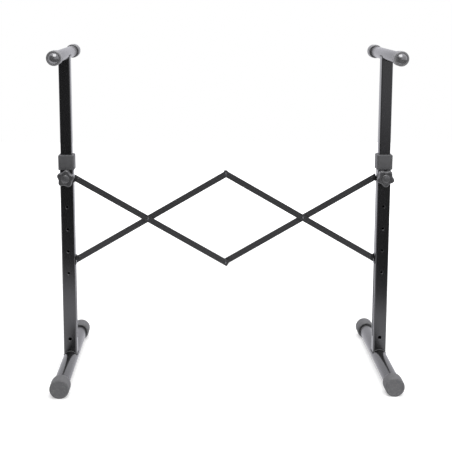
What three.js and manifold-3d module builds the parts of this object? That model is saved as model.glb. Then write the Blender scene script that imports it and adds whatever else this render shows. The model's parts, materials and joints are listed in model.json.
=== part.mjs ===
// Folding keyboard stand. Two square columns stand on round foot bars. A post slides in each
// column and carries a round support bar, and a knob screw holds it at its height. Four flat
// bars, riveted in two cells, join the columns and fold like a scissor. Each bar's upper
// column end turns in a fixed bracket, and its lower one in a bracket that slides in a slot.
// Millimetres, +Z up, +X to the right, the player at -Y. The origin is on the floor, midway
// between the columns and between the front and rear foot caps.
import * as THREE from "three";
import { mergeVertices } from "three/addons/utils/BufferGeometryUtils.js";
import Module from "manifold-3d";

const wasm = await Module();
wasm.setup();

// Columns, the square outer tubes
const columnSpacing = 840; // between the two column axes, with the stand open
const columnWidth = 35;
const columnWall = 1.5;
const columnCorner = 4;
const columnTop = 574;
const columnHoleRadius = 3.5;
const columnHolesBelowLock = 80; // from the lock to the highest of the holes in the front wall
const columnHoleCount = 4;
const holePitch = 60;
const lowHoleAboveFoot = 53; // over the foot bar's axis
const lowHoleRadius = 4.5;

// Posts, the square inner tubes
const postWidth = 30;
const postWall = 1.5;
const postCorner = 3;
const postBelowLock = 15; // how far the post reaches below the lock when it is highest
const glideFlange = 8; // height of the plastic foot below the post
const glideSpigot = 14; // and of its plug inside the post

// Foot bars and their caps
const footTubeRadius = 19;
const footTubeWall = 2;
const footLength = 504; // over both caps
const footCapRadius = 25;
const footCapLength = 46;
const footCapEnd = 10; // thickness of the closed end
const footCapLip = 2.2; // wall of the open end
const footCapShoulder = 11; // length of the swelling behind the open end
const footCapTaper = 0.5; // the cap is narrower by this at its closed end
const footCapEdge = 3.5; // rounding of the closed end
const footFlat = 1; // depth of the flat that stands on the floor

// Support bars and their caps
const supportHeight = 842; // of the bar's axis
const supportTubeRadius = 15;
const supportTubeWall = 1.5;
const supportLength = 420; // over both caps
const supportCapRadius = 18.5;
const supportCapLength = 36;
const supportCapEnd = 9; // thickness of the closed end, without its dome
const supportGroove = 1; // depth of the ring groove
const supportGrooveAt = 16; // from the open end to the groove
const supportGrooveWidth = 2.5;
const supportCapEdge = 3;
const supportDomeRadius = 13;
const supportDomeRise = 4;
const supportFlat = 0.6; // depth of the flat that the keyboard lies on

// Collar at the top of the column
const collarWall = 3.2;
const collarHeight = 40;
const collarLip = 6; // the part above the column, which guides the post
const collarCorner = 5;
const collarBevel = 1.5;

// Height lock: a boss on the column's front, a stud and a five-lobed knob
const lockBelowCollar = 20;
const bossRadius = 9;
const bossLength = 6;
const studRadius = 4;
const studTipRadius = 3;
const studTipLength = 3;
const studInKnob = 13.5;
const knobTipRadius = 23.5;
const knobValleyRadius = 18.5;
const knobLobes = 5;
const leftKnobTurn = THREE.MathUtils.degToRad(-7.6); // as the knobs stand, seen from the front
const rightKnobTurn = THREE.MathUtils.degToRad(36);
const knobDepth = 20;
const knobBevel = 2.5;
const knobHubRadius = 11;
const knobHubDepth = 3;

// Lattice of four flat bars
const barWidth = 16;
const barThickness = 3;
const armOuter = 213; // from a bar's column pivot to its crossing
const armInner = 239.5; // from the crossing to the centre pivot
const barOverhang = 8; // past the centre pivot, to the square end
const barEndCorner = 1.5; // chamfer of the square end
const washerThickness = 0.8;
const washerRadius = 7;
const rivetRadius = 3;
const rivetHeadRadius = 5.5;
const rivetHeadHeight = 1.6;
const spacerRadius = 6;
const foldedAngle = THREE.MathUtils.degToRad(79); // of the bars to the floor, stand folded

// Column brackets and the slider
const pivotBelowCollar = 27; // from the collar's bottom to the upper pivot
const pivotInset = 11; // from the column's inner face to the pivot
const bracketBase = 2;
const bracketBaseWidth = 22;
const tabRadius = 6.5; // of a bracket's tab, round the pivot
const tabThickness = 2;
const tabGap = 0.3; // between a bar and the tab behind it
const sliderAbove = 8; // slider's reach above its pivot
const sliderBelow = 18; // and below it, where its screw is
const slotWidth = 9;
const blockWidth = 22;
const blockDepth = 9;
const sliderScrewRadius = 2.5;
const sliderScrewHeadRadius = 4.2;
const sliderScrewHeadDepth = 1.7; // of the countersunk head
const sliderScrewDrop = 13; // below the pivot
const sliderScrewInBlock = 7;

// Clearances
const fitGap = 0.3; // between pieces that are pressed, welded or slid together
const pinGap = 0.3; // round a rivet, a stud or a screw
const jointPlay = 0.2; // between pieces stacked on a rivet that turn on each other
const knobGap = 0.5; // between the boss and the knob
const slotEndGap = 0.5;
const overcut = 1; // how far a cutting shape runs past what it cuts

// Numbers of sides, and of steps: an arc is drawn with twice as many segments as steps
const tubeSides = 24;
const pinSides = 16;
const lobeSteps = 8;
const cornerSteps = 2;
const profileSteps = 1;
const plateSteps = 8;
const weldDistance = 1e-4;

// Places that follow from the sizes
const columnHalf = columnWidth / 2;
const columnInside = columnHalf - columnWall;
const footAxis = footCapRadius - footFlat;
const collarTop = columnTop + collarLip;
const collarBottom = collarTop - collarHeight;
const lockHeight = collarBottom - lockBelowCollar;
const columnHoleTop = lockHeight - columnHolesBelowLock;
const lowHoleHeight = footAxis + lowHoleAboveFoot;
const postBottom = lockHeight - postBelowLock;
const upperPivotHeight = collarBottom - pivotBelowCollar;
const pivotOffset = columnHalf + pivotInset; // from the column's axis
const pivotX = columnSpacing / 2 - pivotOffset;
const restAngle = Math.acos(pivotX / (armOuter + armInner));
const lowerPivotHeight = upperPivotHeight - 2 * armOuter * Math.sin(restAngle);
const foldedPivotHeight = upperPivotHeight - 2 * armOuter * Math.sin(foldedAngle);
const crossingX = armInner * Math.cos(restAngle);
const crossingHeight = upperPivotHeight - armOuter * Math.sin(restAngle);
const centreRise = armInner * Math.sin(restAngle);
const layerPitch = barThickness + washerThickness + jointPlay;
const layers = [-1.5, -0.5, 0.5, 1.5].map((step) => step * layerPitch);
const tabFront = barThickness / 2 + tabGap; // from a bar's layer to its bracket's tab
const tabBack = tabFront + tabThickness;
const bossFront = -columnHalf - bossLength;
const knobBack = bossFront - knobGap;

// Materials
const framePaint = { color: "#232426", roughness: 0.38, metalness: 0.2 };
const tubePaint = { color: "#2b2b2d", roughness: 0.38, metalness: 0.2 };
const zincPlate = { color: "#8d8f92", roughness: 0.35, metalness: 0.9 };
const collarPlastic = { color: "#303132", roughness: 0.5, metalness: 0 };
const knobPlastic = { color: "#28292b", roughness: 0.5, metalness: 0 };
const blackNylon = { color: "#1b1b1c", roughness: 0.5, metalness: 0 };
const sliderNylon = { color: "#d8d6cf", roughness: 0.5, metalness: 0 };
const rubber = { color: "#2e2f31", roughness: 0.7, metalness: 0 };

// ---- Helpers ----

function solidOf(geometry) {
  const bare = geometry.clone();
  bare.deleteAttribute("normal");
  bare.deleteAttribute("uv");
  const merged = mergeVertices(bare, weldDistance);
  return new wasm.Manifold(
    new wasm.Mesh({
      numProp: 3,
      vertProperties: merged.attributes.position.array,
      triVerts: new Uint32Array(merged.index.array),
    }),
  );
}

function geometryOf(solid) {
  const mesh = solid.getMesh();
  return new THREE.BufferGeometry()
    .setAttribute("position", new THREE.BufferAttribute(mesh.vertProperties, 3))
    .setIndex(new THREE.BufferAttribute(mesh.triVerts, 1));
}

function cut(blank, ...tools) {
  return geometryOf(tools.reduce((left, tool) => left.subtract(solidOf(tool)), solidOf(blank)));
}

function join(first, ...others) {
  return geometryOf(others.reduce((sum, other) => sum.add(solidOf(other)), solidOf(first)));
}

// A box given by its lowest and highest corners.
function block(low, high) {
  const size = high.map((value, axis) => value - low[axis]);
  const centre = high.map((value, axis) => (value + low[axis]) / 2);
  return new THREE.BoxGeometry(...size).translate(...centre);
}

// A round bar along Y, between two places on it.
function rod(radius, from, to, sides = pinSides) {
  return new THREE.CylinderGeometry(radius, radius, to - from, sides).translate(0, (from + to) / 2, 0);
}

// A profile of [radius, place along Y] points, revolved about Y.
function turned(profile, sides) {
  return new THREE.LatheGeometry(profile.map(([r, y]) => new THREE.Vector2(r, y)), sides);
}

// A round tube along Y, centred.
function roundTube(radius, wall, length, sides = tubeSides) {
  const half = length / 2;
  const profile = [
    [radius, -half],
    [radius, half],
    [radius - wall, half],
    [radius - wall, -half],
    [radius, -half],
  ];
  return turned(profile, sides);
}

function roundedSquare(width, corner, Kind = THREE.Shape) {
  const straight = width / 2 - corner;
  const outline = new Kind();
  for (let quarter = 0; quarter < 4; quarter++) {
    const start = (quarter * Math.PI) / 2;
    const x = straight * Math.SQRT2 * Math.cos(start + Math.PI / 4);
    const y = straight * Math.SQRT2 * Math.sin(start + Math.PI / 4);
    outline.absarc(x, y, corner, start, start + Math.PI / 2);
  }
  outline.closePath();
  return outline;
}

// An outline raised along Z from one height to another.
function prism(outline, from, to, curveSegments = cornerSteps) {
  const options = { depth: to - from, bevelEnabled: false, curveSegments };
  return new THREE.ExtrudeGeometry(outline, options).translate(0, 0, from);
}

function squareTube(width, wall, corner, from, to) {
  const outline = roundedSquare(width, corner);
  outline.holes.push(roundedSquare(width - 2 * wall, Math.max(corner - wall, wall), THREE.Path));
  return prism(outline, from, to);
}

// A plate in the XZ plane, with its thickness along Y centred on zero.
function plate(outline, thickness) {
  return prism(outline, -thickness / 2, thickness / 2, plateSteps).rotateX(Math.PI / 2);
}

function mesh(name, geometry, surface) {
  geometry.computeVertexNormals();
  const made = new THREE.Mesh(geometry, new THREE.MeshStandardMaterial(surface));
  made.name = name;
  return made;
}

function at(piece, x, y, z) {
  piece.position.set(x, y, z);
  return piece;
}

// ---- Column, foot bar and collar ----

function columnTube() {
  const blank = squareTube(columnWidth, columnWall, columnCorner, footAxis, columnTop);
  const holes = Array.from({ length: columnHoleCount }, (_, step) =>
    rod(columnHoleRadius, -columnWidth, 0).translate(0, 0, columnHoleTop - step * holePitch),
  );
  return cut(
    blank,
    rod(footTubeRadius + fitGap, -columnWidth, columnWidth, tubeSides).translate(0, 0, footAxis),
    rod(studRadius + pinGap, -columnWidth, 0).translate(0, 0, lockHeight),
    rod(lowHoleRadius, -columnWidth, 0).translate(0, 0, lowHoleHeight),
    block(
      [0, -slotWidth / 2, foldedPivotHeight - sliderBelow - slotEndGap],
      [columnWidth, slotWidth / 2, lowerPivotHeight + sliderAbove + slotEndGap],
    ),
    ...holes,
  );
}

// The open end is at y = 0 and the closed end at y = footCapLength.
function footCap() {
  const bore = footTubeRadius + fitGap;
  const lip = bore + footCapLip;
  const end = footCapRadius - footCapTaper;
  const profile = new THREE.Path();
  profile.absellipse(lip, footCapShoulder, footCapRadius - lip, footCapShoulder, -Math.PI / 2, 0);
  profile.lineTo(end, footCapLength - footCapEdge);
  profile.absarc(end - footCapEdge, footCapLength - footCapEdge, footCapEdge, 0, Math.PI / 2);
  profile.lineTo(0, footCapLength);
  profile.lineTo(0, footCapLength - footCapEnd);
  profile.lineTo(bore, footCapLength - footCapEnd);
  profile.lineTo(bore, 0);
  profile.lineTo(lip, 0);
  const floor = block(
    [-footCapRadius, -overcut, -2 * footCapRadius],
    [footCapRadius, footCapLength + overcut, -footAxis],
  );
  return cut(new THREE.LatheGeometry(profile.getPoints(profileSteps), tubeSides), floor);
}

function collar() {
  const width = columnWidth + 2 * (fitGap + collarWall);
  const options = {
    depth: collarHeight - 2 * collarBevel,
    bevelThickness: collarBevel,
    bevelSize: collarBevel,
    bevelOffset: -collarBevel,
    bevelSegments: 2,
    curveSegments: cornerSteps,
  };
  const outside = new THREE.ExtrudeGeometry(roundedSquare(width, collarCorner), options);
  const columnSpace = roundedSquare(columnWidth + 2 * fitGap, columnCorner + fitGap);
  const postSpace = roundedSquare(postWidth + 2 * fitGap, postCorner + fitGap);
  return cut(
    outside.translate(0, 0, collarBottom + collarBevel),
    prism(columnSpace, collarBottom - overcut, columnTop + fitGap),
    prism(postSpace, collarBottom, collarTop + overcut),
  );
}

// ---- Post and support bar ----

function postTube() {
  const blank = squareTube(postWidth, postWall, postCorner, postBottom, supportHeight);
  const saddle = rod(supportTubeRadius + fitGap, -postWidth, postWidth, tubeSides);
  return cut(blank, saddle.translate(0, 0, supportHeight));
}

function postGlide() {
  const flangeWidth = 2 * (columnInside - fitGap);
  const spigotWidth = postWidth - 2 * (postWall + fitGap);
  return join(
    prism(roundedSquare(flangeWidth, columnCorner - columnWall), postBottom - glideFlange, postBottom),
    prism(roundedSquare(spigotWidth, postCorner - postWall), postBottom - overcut, postBottom + glideSpigot),
  );
}

// The open end is at y = 0. A groove rings the sleeve, and a low dome closes the end.
function supportCap() {
  const bore = supportTubeRadius + fitGap;
  const grooveEnd = supportGrooveAt + supportGrooveWidth;
  const edge = supportCapLength - supportCapEdge;
  const groove = supportCapRadius - supportGroove;
  const domeBall = (supportDomeRadius ** 2 + supportDomeRise ** 2) / (2 * supportDomeRise);
  const domeAngle = Math.asin(supportDomeRadius / domeBall);
  const domeCentre = supportCapLength + supportDomeRise - domeBall;
  const profile = new THREE.Path();
  profile.moveTo(supportCapRadius - supportGroove, 0);
  profile.lineTo(supportCapRadius, supportGroove);
  profile.lineTo(supportCapRadius, supportGrooveAt);
  profile.lineTo(groove, supportGrooveAt + supportGroove / 2);
  profile.lineTo(groove, grooveEnd - supportGroove / 2);
  profile.lineTo(supportCapRadius, grooveEnd);
  profile.lineTo(supportCapRadius, edge);
  profile.absarc(supportCapRadius - supportCapEdge, edge, supportCapEdge, 0, Math.PI / 2);
  profile.lineTo(supportDomeRadius, supportCapLength);
  profile.absarc(0, domeCentre, domeBall, Math.PI / 2 - domeAngle, Math.PI / 2);
  profile.lineTo(0, supportCapLength - supportCapEnd);
  profile.lineTo(bore, supportCapLength - supportCapEnd);
  profile.lineTo(bore, 0);
  profile.lineTo(supportCapRadius - supportGroove, 0);
  const keyboard = block(
    [-supportCapRadius, -overcut, supportCapRadius - supportFlat],
    [supportCapRadius, supportCapLength + supportDomeRise + overcut, 2 * supportCapRadius],
  );
  return cut(new THREE.LatheGeometry(profile.getPoints(profileSteps), tubeSides), keyboard);
}

// ---- Height lock ----

function lockBoss() {
  const outline = new THREE.Shape();
  for (let corner = 0; corner < 6; corner++) {
    const angle = (corner * Math.PI) / 3;
    const go = corner ? "lineTo" : "moveTo";
    outline[go](bossRadius * Math.cos(angle), bossRadius * Math.sin(angle));
  }
  outline.closePath();
  const blank = plate(outline, bossLength).translate(0, -columnHalf - bossLength / 2, 0);
  return cut(blank, rod(studRadius + pinGap, bossFront - overcut, 0));
}

function lockStud() {
  const tip = -(postWidth / 2 + fitGap);
  const end = knobBack - studInKnob;
  const profile = [
    [0, end],
    [studRadius, end],
    [studRadius, tip - studTipLength],
    [studTipRadius, tip - studTipLength],
    [studTipRadius, tip],
    [0, tip],
  ];
  return turned(profile, pinSides);
}

function knobOutline(turn) {
  const mean = (knobTipRadius + knobValleyRadius) / 2;
  const swing = (knobTipRadius - knobValleyRadius) / 2;
  const steps = lobeSteps * knobLobes;
  const points = Array.from({ length: steps }, (_, step) => {
    const angle = (step * 2 * Math.PI) / steps;
    const radius = mean + swing * Math.sin(knobLobes * (angle - turn));
    return new THREE.Vector2(radius * Math.cos(angle), radius * Math.sin(angle));
  });
  return new THREE.Shape(points);
}

function lockKnob(turn) {
  const options = {
    depth: knobDepth - 2 * knobBevel,
    bevelThickness: knobBevel,
    bevelSize: knobBevel,
    bevelOffset: -knobBevel,
    bevelSegments: 2,
  };
  const blank = new THREE.ExtrudeGeometry(knobOutline(turn), options);
  blank.rotateX(Math.PI / 2).translate(0, knobBack - knobBevel, 0);
  return cut(blank, rod(studRadius + pinGap, knobBack - studInKnob - pinGap, knobBack + overcut));
}

function knobHub() {
  const front = knobBack - knobDepth;
  const edge = knobHubDepth / 2;
  const profile = new THREE.Path();
  profile.moveTo(0, front - knobHubDepth);
  profile.lineTo(knobHubRadius - edge, front - knobHubDepth);
  profile.absarc(knobHubRadius - edge, front - edge, edge, -Math.PI / 2, 0);
  profile.lineTo(knobHubRadius, front);
  profile.lineTo(0, front);
  return new THREE.LatheGeometry(profile.getPoints(profileSteps), pinSides);
}

// ---- Brackets and slider ----

// A tab on a base that lies on the column's inner face. The origin is on the column's axis at
// the pivot's height, and the tab stands behind its bar.
function bracket(layer, faceGap, above, below) {
  const face = columnHalf + faceGap;
  const base = block(
    [face, -bracketBaseWidth / 2, -below],
    [face + bracketBase, bracketBaseWidth / 2, above],
  );
  const tab = new THREE.Shape();
  tab.moveTo(face, -tabRadius);
  tab.lineTo(pivotOffset, -tabRadius);
  tab.absarc(pivotOffset, 0, tabRadius, -Math.PI / 2, Math.PI / 2);
  tab.lineTo(face, tabRadius);
  tab.closePath();
  tab.holes.push(new THREE.Path().absarc(pivotOffset, 0, rivetRadius + pinGap, 0, 2 * Math.PI));
  return join(base, plate(tab, tabThickness).translate(0, layer + (tabFront + tabBack) / 2, 0));
}

function upperBracket(layer) {
  return bracket(layer, 0, barWidth / 2, barWidth / 2);
}

function sliderBracket(layer) {
  const seat = columnHalf + fitGap + bracketBase;
  const hole = [
    [0, columnHalf],
    [sliderScrewRadius + pinGap, columnHalf],
    [sliderScrewRadius + pinGap, seat - sliderScrewHeadDepth],
    [sliderScrewHeadRadius + pinGap, seat],
    [sliderScrewHeadRadius + pinGap, seat + overcut],
    [0, seat + overcut],
  ];
  return cut(
    bracket(layer, fitGap, sliderAbove, sliderBelow),
    turned(hole, pinSides).rotateZ(-Math.PI / 2).translate(0, 0, -sliderScrewDrop),
  );
}

// A block inside the column, with a neck through the slot.
function sliderBlock() {
  const back = columnInside - fitGap - blockDepth;
  const body = block(
    [back, -blockWidth / 2, -sliderBelow],
    [columnInside - fitGap, blockWidth / 2, sliderAbove],
  );
  const neckHalf = slotWidth / 2 - fitGap;
  const neck = block([back + overcut, -neckHalf, -sliderBelow], [columnHalf + fitGap, neckHalf, sliderAbove]);
  const bottom = columnHalf + fitGap - sliderScrewInBlock - pinGap;
  const hole = rod(sliderScrewRadius + pinGap, bottom, columnWidth).rotateZ(-Math.PI / 2);
  return cut(join(body, neck), hole.translate(0, 0, -sliderScrewDrop));
}

function sliderScrew() {
  const seat = columnHalf + fitGap + bracketBase;
  const tip = columnHalf + fitGap - sliderScrewInBlock;
  const profile = [
    [0, tip],
    [sliderScrewRadius, tip],
    [sliderScrewRadius, seat - sliderScrewHeadDepth],
    [sliderScrewHeadRadius, seat],
    [0, seat],
  ];
  return turned(profile, pinSides).rotateZ(-Math.PI / 2).translate(0, 0, -sliderScrewDrop);
}

// ---- Lattice ----

// A bar along X from its column pivot, with its thickness along Y. At rest its column end is
// cut along the column, with the corner on the side that turns away from the column: turn is 1
// for a corner at +Z and -1 for one at -Z. The other side of that end is round.
function latticeBar(turn) {
  const half = barWidth / 2;
  const end = armOuter + armInner + barOverhang;
  const cutLength = (half + half * Math.sin(restAngle)) / Math.cos(restAngle);
  const cutX = -half * Math.cos(restAngle);
  const outline = new THREE.Shape();
  outline.moveTo(cutX - cutLength * Math.sin(restAngle), turn * half);
  outline.lineTo(cutX, -turn * half * Math.sin(restAngle));
  const roundEnd = Math.PI + (turn * Math.PI) / 2;
  outline.absarc(0, 0, half, Math.PI + turn * restAngle, roundEnd, turn < 0);
  outline.lineTo(end - barEndCorner, -turn * half);
  outline.lineTo(end, turn * (barEndCorner - half));
  outline.lineTo(end, turn * (half - barEndCorner));
  outline.lineTo(end - barEndCorner, turn * half);
  outline.closePath();
  for (const place of [0, armOuter, armOuter + armInner])
    outline.holes.push(new THREE.Path().absarc(place, 0, rivetRadius + pinGap, 0, 2 * Math.PI));
  return plate(outline, barThickness);
}

// A rivet along Y, whose two heads sit on the planes y = front and y = back.
function rivet(front, back) {
  const dome = (rivetHeadRadius ** 2 + rivetHeadHeight ** 2) / (2 * rivetHeadHeight);
  const reach = Math.asin(rivetHeadRadius / dome);
  const profile = new THREE.Path();
  profile.absarc(0, front - rivetHeadHeight + dome, dome, -Math.PI / 2, reach - Math.PI / 2);
  profile.lineTo(rivetRadius, front);
  profile.lineTo(rivetRadius, back);
  profile.lineTo(rivetHeadRadius, back);
  profile.absarc(0, back + rivetHeadHeight - dome, dome, Math.PI / 2 - reach, Math.PI / 2);
  return new THREE.LatheGeometry(profile.getPoints(profileSteps), pinSides);
}

function ring(radius, from, to) {
  const wall = radius - rivetRadius - pinGap;
  return roundTube(radius, wall, to - from, pinSides).translate(0, (from + to) / 2, 0);
}

// ---- Assembly ----

function sideOf(side, sign, upperLayer, lowerLayer, knobTurn) {
  const group = new THREE.Group();
  group.position.x = (sign * columnSpacing) / 2;
  group.scale.x = -sign; // the left side's inner face is at +X, the right side's is its mirror image
  const footTubeLength = footLength - 2 * (footCapEnd + fitGap);
  const footTube = roundTube(footTubeRadius, footTubeWall, footTubeLength);
  const supportTubeLength = supportLength - 2 * (supportCapEnd + supportDomeRise + fitGap);
  const supportTube = roundTube(supportTubeRadius, supportTubeWall, supportTubeLength);
  const footCapAt = footLength / 2 - footCapLength;
  const supportCapAt = supportLength / 2 - supportCapLength - supportDomeRise;
  const headFront = barThickness / 2 + jointPlay;
  const upperRivet = rivet(upperLayer - headFront, upperLayer + tabBack);
  const lowerRivet = rivet(lowerLayer - headFront, lowerLayer + tabBack);
  const frontward = (geometry) => geometry.rotateZ(Math.PI);

  const pieces = [
    ["foot_tube", footTube, tubePaint, 0, 0, footAxis],
    ["foot_cap_rear", footCap(), rubber, 0, footCapAt, footAxis],
    ["foot_cap_front", frontward(footCap()), rubber, 0, -footCapAt, footAxis],
    ["column_tube", columnTube(), framePaint, 0, 0, 0],
    ["column_collar", collar(), collarPlastic, 0, 0, 0],
    ["post_tube", postTube(), framePaint, 0, 0, 0],
    ["post_glide", postGlide(), blackNylon, 0, 0, 0],
    ["support_tube", supportTube, tubePaint, 0, 0, supportHeight],
    ["support_cap_rear", supportCap(), rubber, 0, supportCapAt, supportHeight],
    ["support_cap_front", frontward(supportCap()), rubber, 0, -supportCapAt, supportHeight],
    ["lock_boss", lockBoss(), framePaint, 0, 0, lockHeight],
    ["lock_stud", lockStud(), zincPlate, 0, 0, lockHeight],
    ["lock_knob", lockKnob(knobTurn), knobPlastic, 0, 0, lockHeight],
    ["lock_knob_hub", knobHub(), knobPlastic, 0, 0, lockHeight],
    ["upper_bracket", upperBracket(upperLayer), framePaint, 0, 0, upperPivotHeight],
    ["upper_rivet", upperRivet, framePaint, pivotOffset, 0, upperPivotHeight],
    ["slider_bracket", sliderBracket(lowerLayer), framePaint, 0, 0, lowerPivotHeight],
    ["slider_block", sliderBlock(), sliderNylon, 0, 0, lowerPivotHeight],
    ["slider_screw", sliderScrew(), zincPlate, 0, 0, lowerPivotHeight],
    ["lower_rivet", lowerRivet, framePaint, pivotOffset, 0, lowerPivotHeight],
  ];
  for (const [name, geometry, surface, x, y, z] of pieces)
    group.add(at(mesh(`${side}_${name}`, geometry, surface), x, y, z));
  return group;
}

function lattice() {
  const group = new THREE.Group();
  const half = barThickness / 2;
  const bottom = crossingHeight - centreRise;
  const top = crossingHeight + centreRise;
  const [frontLayer, secondLayer, thirdLayer, backLayer] = layers;
  const bars = [
    ["bar_left_upper", 1, -pivotX, frontLayer, upperPivotHeight, restAngle],
    ["bar_left_lower", -1, -pivotX, secondLayer, lowerPivotHeight, -restAngle],
    ["bar_right_lower", 1, pivotX, thirdLayer, lowerPivotHeight, Math.PI + restAngle],
    ["bar_right_upper", -1, pivotX, backLayer, upperPivotHeight, Math.PI - restAngle],
  ];
  for (const [name, corner, x, layer, height, turn] of bars) {
    const bar = at(mesh(name, latticeBar(corner), framePaint), x, layer, height);
    bar.rotation.y = turn;
    group.add(bar);
  }
  const joints = [
    ["crossing_left", -crossingX, crossingHeight, frontLayer, secondLayer],
    ["crossing_right", crossingX, crossingHeight, thirdLayer, backLayer],
    ["centre_top", 0, top, secondLayer, thirdLayer],
    ["centre_bottom", 0, bottom, frontLayer, backLayer],
  ];
  for (const [name, x, height, first, last] of joints) {
    const open = name === "centre_bottom";
    const pin = rivet(first - half, last + half + jointPlay);
    const filler = ring(open ? spacerRadius : washerRadius, first + half, last - half - jointPlay);
    group.add(
      at(mesh(`${name}_rivet`, pin, framePaint), x, 0, height),
      at(mesh(`${name}_${open ? "spacer" : "washer"}`, filler, blackNylon), x, 0, height),
    );
  }
  return group;
}

const stand = new THREE.Group();
stand.add(
  sideOf("left", -1, layers[0], layers[1], leftKnobTurn),
  sideOf("right", 1, layers[3], layers[2], rightKnobTurn),
  lattice(),
);

export default stand;
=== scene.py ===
import json
import math

import bmesh
import bpy
from mathutils import Matrix, Vector


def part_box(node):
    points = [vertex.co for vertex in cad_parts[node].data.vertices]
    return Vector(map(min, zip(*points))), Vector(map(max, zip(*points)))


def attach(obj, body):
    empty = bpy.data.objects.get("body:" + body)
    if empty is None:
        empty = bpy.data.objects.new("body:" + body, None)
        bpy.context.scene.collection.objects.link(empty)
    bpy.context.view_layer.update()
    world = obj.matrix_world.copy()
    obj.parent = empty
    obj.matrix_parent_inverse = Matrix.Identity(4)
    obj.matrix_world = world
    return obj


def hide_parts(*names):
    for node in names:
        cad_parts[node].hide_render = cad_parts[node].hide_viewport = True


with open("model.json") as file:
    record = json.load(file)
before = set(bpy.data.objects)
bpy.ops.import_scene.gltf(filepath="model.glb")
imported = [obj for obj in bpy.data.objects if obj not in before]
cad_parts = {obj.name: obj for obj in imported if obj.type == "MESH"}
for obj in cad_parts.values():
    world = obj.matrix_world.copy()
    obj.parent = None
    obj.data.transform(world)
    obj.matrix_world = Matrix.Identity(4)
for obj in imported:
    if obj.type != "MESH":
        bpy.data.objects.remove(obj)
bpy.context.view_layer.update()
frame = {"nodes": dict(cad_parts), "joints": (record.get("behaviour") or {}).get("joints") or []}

# Pieces are modelled in millimetres, +Z up, and brought to metres when they are finished.
metre = 1000
overcut = 1  # how far a cutting tool reaches past what it cuts
drillReach = 9  # how far a drill reaches past a thin plate
pointGap = dict(spin=1e-4, cut=1e-3, solid=0.01)  # points that are closer are merged
outlineGap = 0.01  # between the first and the last point of a closed outline
alongAxis = 0.99  # the least cosine at which an edge counts as running along an axis
sharpAngle = 35
domeSteps = 14
sides = {"left": 1, "right": -1}  # the way from a column to the middle of the stand, along X
pivots = {
    joint["name"]: Vector(joint["pos_m"]) * metre for joint in frame["joints"] if "pos_m" in joint
}
layerAxis = Vector((0, 1, 0))


def boxOf(node):
    low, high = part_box(node)
    return low * metre, high * metre


def middleOf(node):
    low, high = boxOf(node)
    return (low + high) / 2


def radiusOf(node):
    low, high = boxOf(node)
    return (high.x - low.x) / 2


# Where the axis of a piece that is round about Y crosses the plane of the columns.
def axisOf(node):
    middle = middleOf(node)
    return Vector((middle.x, 0, middle.z))


# Rounds the corners of an outline. Each corner is (across, along, rounding).
def eased(corners, steps=5):
    points = []
    for index, (across, along, rounding) in enumerate(corners):
        here = Vector((across, along))
        if not rounding or index in (0, len(corners) - 1):
            points.append(here)
            continue
        back = (Vector(corners[index - 1][:2]) - here).normalized()
        ahead = (Vector(corners[index + 1][:2]) - here).normalized()
        half = back.angle(ahead) / 2
        centre = here + (back + ahead).normalized() * rounding / math.sin(half)
        reach = rounding / math.tan(half)
        start = here + back * reach - centre
        turn = start.angle_signed(here + ahead * reach - centre)
        for step in range(steps + 1):
            points.append(centre + Matrix.Rotation(-turn * step / steps, 2) @ start)
    return points


# The outline of a dome from its rim to its top, which faces along Y, or against it at way -1.
def domeArc(radius, rise, top, way):
    ball = (radius**2 + rise**2) / (2 * rise)
    rim = way * (90 - math.degrees(math.asin(radius / ball)))
    turns = [math.radians(rim + (way * 90 - rim) * step / domeSteps) for step in range(domeSteps + 1)]
    centre = top - way * ball
    return [Vector((ball * math.cos(turn), centre + ball * math.sin(turn))) for turn in turns]


# Turns an outline of (radius, place along Y) about the Y axis.
def spun(outline, closed=False, steps=96):
    bm = bmesh.new()
    verts = [bm.verts.new((point[0], point[1], 0)) for point in outline]
    edges = [bm.edges.new(pair) for pair in zip(verts, verts[1:])]
    if closed:
        edges.append(bm.edges.new((verts[-1], verts[0])))
    bmesh.ops.spin(
        bm, geom=verts + edges, cent=(0, 0, 0), axis=layerAxis, angle=2 * math.pi, steps=steps,
        use_merge=True,
    )
    bmesh.ops.remove_doubles(bm, verts=bm.verts, dist=pointGap["spin"])
    bmesh.ops.recalc_face_normals(bm, faces=bm.faces)
    return bm


def moved(bm, place, turn=None):
    matrix = Matrix.Translation(place) @ (turn or Matrix.Identity(4))
    bmesh.ops.transform(bm, matrix=matrix, verts=bm.verts)
    return bm


# The turn of a cap: none at the rear end of its bar, where it faces along +Y.
def capTurn(facing):
    return Matrix.Identity(4) if facing > 0 else Matrix.Rotation(math.pi, 4, "Z")


def rod(radius, start, end, segments=40):
    start, end = Vector(start), Vector(end)
    bm = bmesh.new()
    turn = (end - start).to_track_quat("Z", "Y").to_matrix().to_4x4()
    bmesh.ops.create_cone(
        bm, cap_ends=True, segments=segments, radius1=radius, radius2=radius,
        depth=(end - start).length, matrix=Matrix.Translation((start + end) / 2) @ turn,
    )
    return bm


def block(low, high):
    low, high = Vector(low), Vector(high)
    bm = bmesh.new()
    bmesh.ops.create_cube(bm, size=1)
    bmesh.ops.scale(bm, vec=high - low, verts=bm.verts)
    return moved(bm, (low + high) / 2)


def bevelled(bm, edges, radius, segments):
    bmesh.ops.bevel(
        bm, geom=edges, offset=radius, offset_type="OFFSET", affect="EDGES", segments=segments,
        profile=0.5, material=-1,
    )
    return bm


# Bevels the edges that run along one axis, or only those that keep() picks.
def easeAlong(bm, axis, radius, segments=6, keep=None):
    chosen = []
    for edge in bm.edges:
        way = (edge.verts[0].co - edge.verts[1].co).normalized()
        middle = (edge.verts[0].co + edge.verts[1].co) / 2
        if abs(way[axis]) > alongAxis and (keep is None or keep(middle)):
            chosen.append(edge)
    return bevelled(bm, chosen, radius, segments)


def squareBar(width, corner, bottom, top, x=0):
    bm = block((x - width / 2, -width / 2, bottom), (x + width / 2, width / 2, top))
    return easeAlong(bm, 2, corner, 8)


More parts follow.
